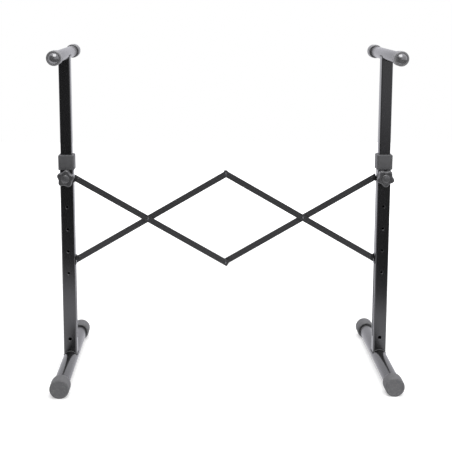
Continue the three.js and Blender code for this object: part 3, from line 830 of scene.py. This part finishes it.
# The knob grows from its lobed outline: each ring draws the rim in or out and along the axis.
def knobPiece(side):
    node = f"{side}_lock_knob"
    low, high = boxOf(node)
    mean, swing = (knob["tip"] + knob["valley"]) / 2, (knob["tip"] - knob["valley"]) / 2
    edge, edgeSteps, rim = knob["edge"], knob["edgeSteps"], knob["rim"]
    wall, wallEase = knob["boreWall"], knob["boreWallEase"]
    recess = high.y - knob["recess"]
    bm = bmesh.new()

    def circled(vert, radius, along):
        turn = math.atan2(vert.co.z, vert.co.x)
        vert.co = Vector((radius * math.cos(turn), along, radius * math.sin(turn)))

    def lobed(vert, inset, along):
        turn = math.atan2(vert.co.z, vert.co.x)
        lobe = swing * math.sin(knob["lobes"] * (turn - knobTurn[side]))
        circled(vert, mean + lobe - inset, along)

    def shaped(loop, ring):
        shape, size, along = ring
        for vert in {vert for item in loop for vert in item.verts}:
            shape(vert, size, along)

    # Draws a loop of edges through the rings, and closes the last one.
    def drawn(loop, rings):
        for ring in rings:
            grown = bmesh.ops.extrude_edge_only(bm, edges=loop)["geom"]
            loop = [
                item for item in grown
                if isinstance(item, bmesh.types.BMEdge) and all(vert in grown for vert in item.verts)
            ]
            shaped(loop, ring)
        bmesh.ops.edgeloop_fill(bm, edges=loop)

    flat = Matrix.Rotation(math.pi / 2, 4, "X")
    bmesh.ops.create_circle(bm, segments=knob["segments"], radius=mean, matrix=flat)
    rounding = [math.radians(90 * step / edgeSteps) for step in range(1, edgeSteps + 1)]
    rings = [(lobed, rim, recess), (lobed, rim, high.y - knob["rimEase"])]
    rings += [(lobed, rim - knob["rimEase"], high.y)]
    rings += [(lobed, inset, high.y - drop) for inset, drop in knob["backEdge"]]
    rings += [(lobed, 0, high.y - (high.y - low.y) / 2), (lobed, 0, low.y + edge)]
    rings += [
        (lobed, edge * (1 - math.cos(turn)), low.y + edge * (1 - math.sin(turn)))
        for turn in rounding
    ]
    rings += [(lobed, edge + knob["faceInset"], low.y)]
    rings += [(circled, knob["hubSeat"] + step, low.y + drop) for step, drop in knob["seatSteps"]]
    backRings = [
        (circled, wall, recess), (circled, wall, high.y - wallEase),
        (circled, wall - wallEase, high.y), (circled, knob["bore"], high.y),
        (circled, knob["bore"], high.y - knob["boreDepth"]),
    ]
    start = bm.edges[:]
    shaped(start, rings[0])
    drawn(start, rings[1:])
    drawn(start, backRings)
    bmesh.ops.recalc_face_normals(bm, faces=bm.faces)
    bm = combined(bm, knobRibs(high.y, knobTurn[side]), "UNION")
    moved(bm, axisOf(f"{side}_lock_knob_hub"))
    piece = asObject(f"{side}_knob", bm, knob["creaseAngle"])
    dress(piece, "knobPlastic", "knob_plastic", f"{side}_knob", node)


# Thin ribs in the hollow back, one to each lobe.
def knobRibs(back, turned):
    inner, outer = knob["boreWall"] - overcut, knob["tip"] - knob["ribInset"]
    bottom, top, half = back - knob["recess"] - overcut, back - knob["ribDrop"], knob["ribHalf"]
    ribs = []
    for lobe in range(knob["lobes"]):
        rib = block((inner, bottom, -half), (outer, top, half))
        turn = math.radians((90 + 360 * lobe) / knob["lobes"]) + turned
        ribs.append(moved(rib, (0, 0, 0), Matrix.Rotation(-turn, 4, "Y")))
    return ribs


def hubPiece(side):
    node = f"{side}_lock_knob_hub"
    low, high = boxOf(node)
    crown = domeArc(hub["radius"], high.y - low.y - hub["side"], low.y, -1)
    outline = eased([
        (0, high.y, 0), (hub["radius"], high.y, hub["backEase"]),
        (*crown[0], hub["sideEase"]), (*crown[1], 0),
    ])
    bm = moved(spun(outline + crown[2:]), axisOf(node))
    dress(asObject(f"{side}_hub", bm), "hubPaintedHighlightPlastic", "knob_plastic", f"{side}_knob", node)


rivet = dict(
    shaft=3.0, headHeight=1.6, rimHeight=0.35, rimEase=0.5, headEase=0.2, crown=0.62,
    crownDrop=0.28, crownEase=1.5, dimple=2.5, dimpleDepth=0.3, dimpleEase=0.4,
    tip=2.2, tipDepth=0.5, tipEase=0.25, creaseAngle=50,
)
ring = dict(bore=3.3, edge=0.2)
screw = dict(
    shaft=2.5, tipEase=0.6, headDepth=1.7, headRadius=4.2, headEase=0.3, rimEase=0.15,
    crossWidth=1.0, crossLength=4.6, crossDepth=1.3,
)


# A rivet with a domed head at both ends. Where the paint is off, the bare end of the shank shows.
def rivetPiece(node, body, bareTip=False):
    low, high = boxOf(node)
    radius, height = radiusOf(node), rivet["headHeight"]
    dimple, ease = rivet["dimple"], rivet["dimpleEase"]
    crown = eased([
        (rivet["shaft"], height, rivet["headEase"]), (radius, height, rivet["headEase"]),
        (radius, height - rivet["rimHeight"], rivet["rimEase"]),
        (radius * rivet["crown"], rivet["crownDrop"], rivet["crownEase"]), (dimple, 0.0, ease),
        (dimple * 0.5, rivet["dimpleDepth"], ease), (0, rivet["dimpleDepth"], 0),
    ])
    front = [Vector((point.x, low.y + point.y)) for point in crown]
    rear = [Vector((point.x, high.y - point.y)) for point in crown]
    bm = moved(spun(front[::-1] + rear, steps=64), axisOf(node))
    piece = asObject(node + "_dome", bm, rivet["creaseAngle"])
    dress(piece, "rivetPaint", "rivet_steel", body, node)
    if bareTip:
        tip, bottom = rivet["tip"], low.y + rivet["tipDepth"]
        outline = eased([
            (0, low.y, 0), (tip, low.y, rivet["tipEase"]), (tip, bottom, 0), (0, bottom, 0),
        ])
        bm = moved(spun(outline, steps=48), axisOf(node))
        dress(asObject(node + "_tip", bm), "zincPlate", "rivet_steel", body)


def ringPiece(node, body):
    bm = turnedWall(node, ring["bore"], ring["edge"], 3, 64)
    dress(asObject(node + "_ring", bm), "blackNylon", "black_nylon", body, node)


def screwPiece(side, inward):
    node = f"{side}_slider_screw"
    low, high = boxOf(node)
    length, shaft = high.x - low.x, screw["shaft"]
    head = spun(eased([
        (0, 0, 0), (shaft, 0, screw["tipEase"]),
        (shaft, length - screw["headDepth"], screw["headEase"]),
        (screw["headRadius"], length, screw["rimEase"]), (0, length, 0),
    ]), steps=48)
    half, arm = screw["crossWidth"] / 2, screw["crossLength"] / 2
    bottom, top = length - screw["crossDepth"], length + overcut
    cross = [
        block((-across, bottom, -along), (across, top, along))
        for across, along in ((arm, half), (half, arm))
    ]
    bm = combined(head, cross)
    tip = Vector((low.x if inward > 0 else high.x, (low.y + high.y) / 2, (low.z + high.z) / 2))
    moved(bm, tip, Matrix.Rotation(-inward * math.pi / 2, 4, "Z"))
    piece = asObject(f"{side}_slider_bolt", bm)
    dress(piece, "zincPlate", "plated_steel", f"{side}_slider", node)


bracket = dict(
    base=2, tab=6.5, bore=3.3, sheet=2, gap=0.3, cornerEase=2.5, screwHole=2.8, sinkRadius=4.5,
    sinkDepth=1.7, edge=0.3,
)


# A base on the column's inner face, with one tab behind the bar that turns on it.
def bracketPiece(inward, node, barNode, pivot, body, screwHeight=None):
    low, high = boxOf(node)
    face = low.x if inward > 0 else high.x
    near, far = sorted((face, face + inward * bracket["base"]))
    base = easeAlong(block((near, low.y, low.z), (far, high.y, high.z)), 0, bracket["cornerEase"])
    front = boxOf(barNode)[1].y + bracket["gap"]
    back = front + bracket["sheet"]
    radius = bracket["tab"]
    near, far = sorted((face, pivot.x))
    tab = [
        block((near, front, pivot.z - radius), (far, back, pivot.z + radius)),
        rod(radius, (pivot.x, front, pivot.z), (pivot.x, back, pivot.z), 64),
    ]
    start, end = front - drillReach, back + drillReach
    holes = [rod(bracket["bore"], (pivot.x, start, pivot.z), (pivot.x, end, pivot.z))]
    if screwHeight:
        hole, sink, top = bracket["screwHole"], bracket["sinkRadius"], bracket["base"]
        bit = spun([
            (0, -drillReach), (hole, -drillReach), (hole, top - bracket["sinkDepth"]),
            (sink, top), (sink, drillReach), (0, drillReach),
        ], steps=48)
        turn = Matrix.Rotation(-inward * math.pi / 2, 4, "Z")
        holes.append(moved(bit, (face, 0, screwHeight), turn))
    bm = combined(combined(base, tab, "UNION"), holes)
    piece = softEdges(asObject(node + "_plate", bm), bracket["edge"])
    dress(piece, "framePaint", "frame_paint", body, node)


bar = dict(
    width=16, overhang=8, corner=1.5, bore=3.3, edge=0.4, reach=30, endEase=0.8, endBand=0.1,
    roundPlay=0.01,
)


# A flat bar from its column pivot, through its crossing, to the middle of the stand. Its column
# end is cut along the column on the side that turns away from it, and round on the other.
def barPiece(node, start, crossing, end):
    low, high = boxOf(node)
    half, thickness = bar["width"] / 2, (high.y - low.y) / 2
    way = (crossing - start).normalized()
    armOuter, length = (crossing - start).length, (end - start).length
    rise = math.copysign(1, -way.z * way.x)  # the side of the bar where the corner is
    level, slope = abs(way.x), abs(way.z)

    def atEnd(middle):
        return middle.x > length

    def onRoundSide(middle):
        return middle.x < 0 and middle.z * rise < 0

    def atCorner(middle):
        return middle.x < 0 and middle.z * rise > half - bar["endBand"]

    bm = block((-bar["reach"], -thickness, -half), (length + bar["overhang"], thickness, half))
    easeAlong(bm, 1, bar["corner"], 3, atEnd)
    clipped(bm, (-half * level, 0, -half * slope * rise), (-level, 0, -slope * rise))
    bmesh.ops.holes_fill(bm, edges=bm.edges)
    roundRadius = half * math.tan(math.pi / 4 - math.asin(slope) / 2) - bar["roundPlay"]
    easeAlong(bm, 1, roundRadius, 12, onRoundSide)
    easeAlong(bm, 1, bar["endEase"], 3, atCorner)
    holes = [
        rod(bar["bore"], (place, -drillReach, 0), (place, drillReach, 0))
        for place in (0, armOuter, length)
    ]
    bm = combined(bm, holes)
    turn = Matrix.Rotation(-math.atan2(way.z, way.x), 4, "Y")
    moved(bm, (start.x, (low.y + high.y) / 2, start.z), turn)
    piece = softEdges(asObject(node + "_flat", bm), bar["edge"], 3)
    dress(piece, "barPaint", "bar_paint", node, node)


def buildSide(side, inward):
    frameBody, postBody, sliderBody = f"{side}_frame", f"{side}_post", f"{side}_slider"
    roundTubePiece(f"{side}_foot_tube", f"{side}_foot_bar", footTube, frameBody)
    roundTubePiece(f"{side}_support_tube", f"{side}_support_bar", supportTube, postBody)
    for end, facing in (("front", -1), ("rear", 1)):
        footCapPiece(side, end, facing)
        supportCapPiece(side, end, facing)
    columnPiece(side, inward)
    postPiece(side)
    collarPiece(side)
    refined(f"{side}_post_glide", f"{side}_glide", "blackNylon", "black_nylon", postBody)
    sliderNode = f"{side}_slider_block"
    refined(sliderNode, f"{side}_slide_block", "sliderNylon", "slider_nylon", sliderBody)
    bossPiece(side)
    studPiece(side)
    knobPiece(side)
    hubPiece(side)
    upper = pivots["fold"] if side == "left" else pivots["right_column_turn"]
    lower = pivots[f"{side}_slider_turn"]
    bracketPiece(inward, f"{side}_upper_bracket", f"bar_{side}_upper", upper, frameBody)
    height = middleOf(f"{side}_slider_screw").z
    bracketPiece(inward, f"{side}_slider_bracket", f"bar_{side}_lower", lower, sliderBody, height)
    rivetPiece(f"{side}_upper_rivet", frameBody)
    rivetPiece(f"{side}_lower_rivet", sliderBody)
    screwPiece(side, inward)
    weldSide(side, inward)
    print(side, "side built")


# The path of a bead round a square tube that stands on, or hangs under, a round one.
def tubeSeam(square, corner, tube, gap, above):
    x, axisHeight = middleOf(square).x, middleOf(tube).z
    width, radius = 2 * radiusOf(square), radiusOf(tube) + gap
    return saddlePath(x, width, corner, axisHeight, radius, above)


def weldSide(side, inward):
    frameBody = f"{side}_frame"
    footPath = tubeSeam(f"{side}_column_tube", column["corner"], f"{side}_foot_tube", 0, True)
    weldBead(f"{side}_foot_weld", footPath, weld["bead"], frameBody)
    gap = weld["supportGap"]
    barPath = tubeSeam(f"{side}_post_tube", post["corner"], f"{side}_support_tube", gap, False)
    barBead = weld["bead"] * weld["supportShare"]
    weldBead(f"{side}_support_weld", barPath, barBead, f"{side}_post")
    x = middleOf(f"{side}_column_tube").x
    height = middleOf(f"{side}_lock_boss").z
    y = boxOf(f"{side}_lock_boss")[1].y - weld["bossSink"]
    radius = boss["radius"] - weld["bossInset"]
    turns = [2 * math.pi * step / weld["bossPoints"] for step in range(weld["bossPoints"])]
    path = [
        Vector((x + radius * math.cos(turn), y, height + radius * math.sin(turn))) for turn in turns
    ]
    weldBead(f"{side}_boss_weld", path, weld["bossBead"], frameBody)
    low, high = boxOf(f"{side}_upper_bracket")
    x = (low.x if inward > 0 else high.x) + inward * weld["bracketLift"]
    inset, steps = weld["bracketInset"], weld["bracketSteps"]
    for name, y in (("front", low.y), ("rear", high.y)):
        start, end = Vector((x, y, low.z + inset)), Vector((x, y, high.z - inset))
        line = [start.lerp(end, step / steps) for step in range(steps + 1)]
        bead = weld["bracketBead"]
        weldBead(f"{side}_bracket_weld_{name}", line, bead, frameBody, closed=False)


def buildLattice():
    top = pivots["centre_top_turn"]
    bottom = axisOf("centre_bottom_rivet")
    crossLeft, crossRight = pivots["crossing_left_turn"], pivots["crossing_right_turn"]
    barPiece("bar_left_upper", pivots["fold"], crossLeft, bottom)
    barPiece("bar_left_lower", pivots["left_slider_turn"], crossLeft, top)
    barPiece("bar_right_lower", pivots["right_slider_turn"], crossRight, top)
    barPiece("bar_right_upper", pivots["right_column_turn"], crossRight, bottom)
    for joint, filler, body in (
        ("crossing_left", "washer", "bar_left_upper"),
        ("crossing_right", "washer", "bar_right_lower"),
        ("centre_top", "washer", "bar_left_lower"),
        ("centre_bottom", "spacer", "bar_left_upper"),
    ):
        rivetPiece(f"{joint}_rivet", body, bareTip=True)
        ringPiece(f"{joint}_{filler}", body)
    print("lattice built")


for side, inward in sides.items():
    buildSide(side, inward)
buildLattice()


studio = dict(
    floorHalf=4.5, floorColour=0.82, floorGlow=0.35, sweep=(0.9, 2.2), nearFloor=0.5,
    farFloor=0.98, floorTurn=0.3, frontDark=0.04, frontRight=0.52, rightSpan=(-0.12, 0.22),
    behindSpan=(-0.75, -0.1), overheadSpan=(0.3, 0.7), roomTint=(0.94, 0.935, 1.0, 1.0),
    worldDiffuse=0.42,
)
white = (1, 1, 1, 1)


# White to the camera. In reflections the floor is white round the stand and dark far in front.
def floorMaterial():
    finish = newFinish("studioFloor")
    path, gloss = finish.ray("Is Camera Ray"), finish.ray("Is Glossy Ray")
    place = finish.node("ShaderNodeTexCoord", output="Object")
    x, y = finish.part(place, "X"), finish.part(place, "Y")
    forward = y - studio["floorTurn"] * x
    near = finish.span(forward, -studio["farFloor"], -studio["nearFloor"], studio["frontDark"], 1.0)
    away = finish.measure("LENGTH", {0: place})
    sweep = finish.span(away, *studio["sweep"], studio["floorGlow"], 1.0)
    colour = grey(studio["floorColour"], (1, 1, 1))
    lit = finish.node("ShaderNodeBsdfDiffuse", inputs={"Color": colour})
    glow = finish.node("ShaderNodeEmission", inputs={"Color": white, "Strength": path * sweep})
    seen = finish.node("ShaderNodeAddShader", inputs={0: lit, 1: glow})
    inputs = {"Color": studio["roomTint"], "Strength": near}
    mirrored = finish.node("ShaderNodeEmission", inputs=inputs)
    surface = finish.node("ShaderNodeMixShader", inputs={0: gloss, 1: seen, 2: mirrored})
    finish.node("ShaderNodeOutputMaterial", inputs={"Surface": surface})
    return finish.owner


def buildFloor():
    bm = bmesh.new()
    bmesh.ops.create_grid(bm, x_segments=1, y_segments=1, size=studio["floorHalf"] * metre)
    floor = asObject("studio_floor", bm)
    floor.data.materials.append(floorMaterial())


# The world is white to the camera. Reflections see a white room, dark on the side of the viewer.
def buildWorld():
    world = bpy.data.worlds.new("studioWorld")
    bpy.context.scene.world = world
    finish = Finish(world)
    camera, gloss = finish.ray("Is Camera Ray"), finish.ray("Is Glossy Ray")
    way = finish.node("ShaderNodeTexCoord", output="Generated")
    x, y, z = (finish.part(way, letter) for letter in "XYZ")
    front = finish.span(x, *studio["rightSpan"], studio["frontDark"], studio["frontRight"])
    behind = finish.span(y, *studio["behindSpan"])
    overhead = finish.span(z, *studio["overheadSpan"])
    bright = 1 - (1 - behind) * (1 - overhead)
    mirrored = front + bright * (1 - front)
    plain = studio["worldDiffuse"] + camera * (1 - studio["worldDiffuse"])
    strength = plain + gloss * (mirrored - plain)
    tint = finish.blend(gloss, white, studio["roomTint"])
    surface = finish.node("ShaderNodeBackground", inputs={"Color": tint, "Strength": strength})
    finish.node("ShaderNodeOutputWorld", inputs={"Surface": surface})


# Width and height are in metres. The kicker lifts the right side a little, and isn't mirrored.
lamps = (
    dict(name="overhead", place=(0, 0.3, 3), aim=(0, 0, 0.4), size=(2.6, 2.6), power=64, mirrored=True),
    dict(name="softbox", place=(0, -2.9, 2.8), aim=(0, 0, 0.6), size=(2.1, 1.9), power=30, mirrored=True),
    dict(
        name="kicker", place=(1.9, -1.9, 1.3), aim=(0.42, 0, 0.5), size=(0.8, 0.8), power=30,
        mirrored=False,
    ),
)


def buildLamps():
    for lamp in lamps:
        light = bpy.data.lights.new(lamp["name"], "AREA")
        light.energy = lamp["power"]
        light.shape = "RECTANGLE"
        light.size, light.size_y = lamp["size"]
        made = linked(lamp["name"], light)
        made.location = lamp["place"]
        made.visible_glossy = lamp["mirrored"]
        way = Vector(lamp["aim"]) - Vector(lamp["place"])
        made.rotation_euler = way.to_track_quat("-Z", "Y").to_euler()


# The photograph was taken level and cropped. Part of that crop is made here by the shift,
# and the rest by tilting the camera.
view = dict(
    place=(-0.06945, -2.70385, 0.97669), yaw=0.0258, pitch=0.1673, roll=0.0031, focal=1032.17,
    frame=452, sensor=36, shiftY=-0.11, clipEnd=60,
)


def buildCamera():
    camera = bpy.data.cameras.new("camera")
    camera.sensor_width = view["sensor"]
    camera.lens = view["focal"] / view["frame"] * view["sensor"]
    camera.shift_y = view["shiftY"]
    camera.clip_end = view["clipEnd"]
    yaw, pitch, roll = view["yaw"], view["pitch"], view["roll"]
    reach = math.cos(pitch)
    forward = Vector((math.sin(yaw) * reach, math.cos(yaw) * reach, -math.sin(pitch)))
    level = Vector((math.cos(yaw), -math.sin(yaw), 0))
    upright = level.cross(forward)
    right = math.cos(roll) * level + math.sin(roll) * upright
    up = math.cos(roll) * upright - math.sin(roll) * level
    made = linked("camera", camera)
    turn = Matrix((right, up, -forward)).transposed().to_4x4()
    made.matrix_world = Matrix.Translation(view["place"]) @ turn
    bpy.context.scene.camera = made


buildFloor()
buildWorld()
buildLamps()
buildCamera()
bpy.context.scene.view_settings.view_transform = "Standard"
print("studio ready")
